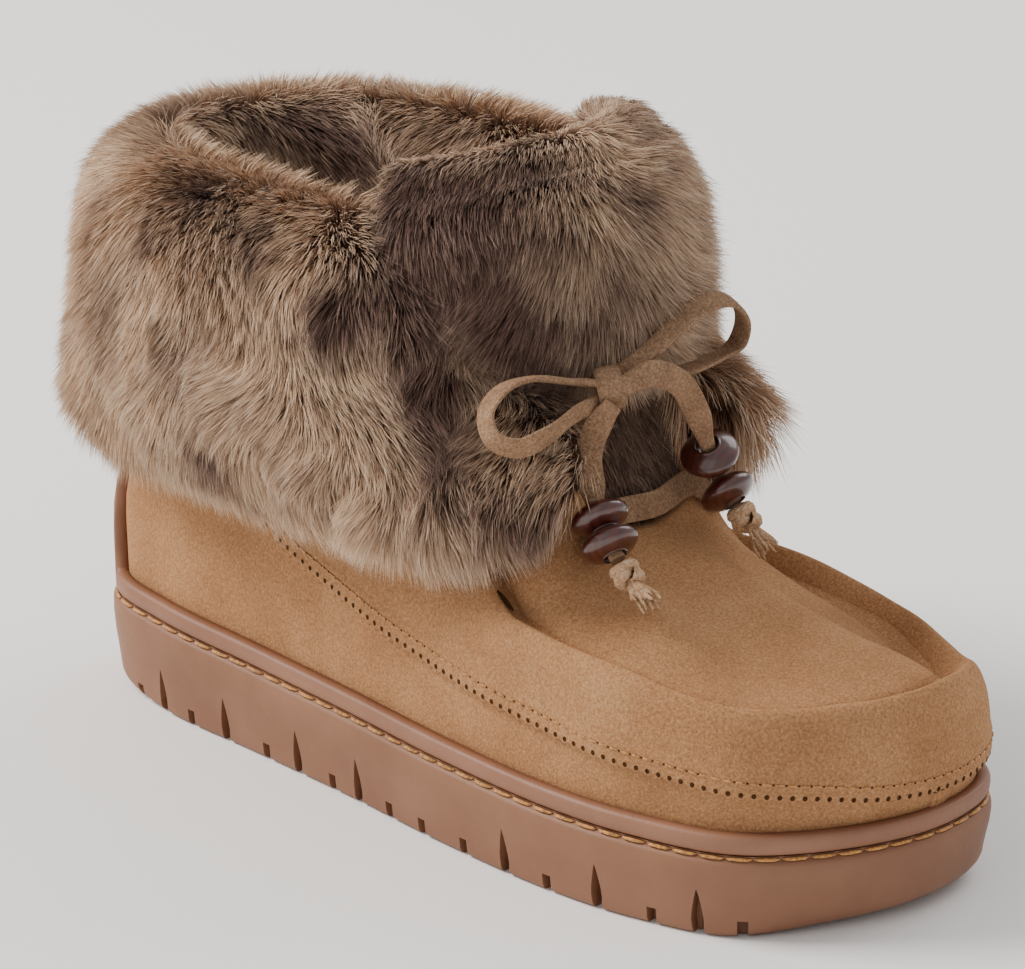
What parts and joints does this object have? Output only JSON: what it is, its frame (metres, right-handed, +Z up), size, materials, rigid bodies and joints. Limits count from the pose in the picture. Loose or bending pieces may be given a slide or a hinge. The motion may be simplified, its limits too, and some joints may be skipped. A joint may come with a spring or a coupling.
{
  "type": "mukluk boot",
  "caption": "Low mukluk boot: a suede moccasin upper on a stitched rubber cup sole, with a folded fur cuff, a fur flap and a beaded lace bow.",
  "frame": {"origin": "on the ground under the middle of the sole's length, between the sole's two sides near the waist", "axes": "+X to the toe, +Y to the inner side of the foot, +Z up"},
  "size_m": [0.2702, 0.1324, 0.1736],
  "materials": {
    "rubber": "satin brown moulded rubber",
    "suede": "brushed tan suede",
    "insole": "fleece",
    "fur": "long mottled pile",
    "lace": "flat suede lace",
    "bead": "polished dark wood"
  },
  "bodies": {
    "root": {"outsole": "rubber", "rand": "rubber", "upper": "suede", "insole": "insole", "tongue": "suede", "fur_cuff": "fur", "fur_flap": "fur", "lace_bar": "lace", "lace_knot": "lace", "lace_loop_near": "lace", "lace_loop_far": "lace", "lace_end_near": "lace", "lace_end_far": "lace", "bead_near_1": "bead", "bead_near_2": "bead", "bead_far_1": "bead", "bead_far_2": "bead", "fray_near": "lace", "fray_far": "lace"}
  },
  "joints": []
}
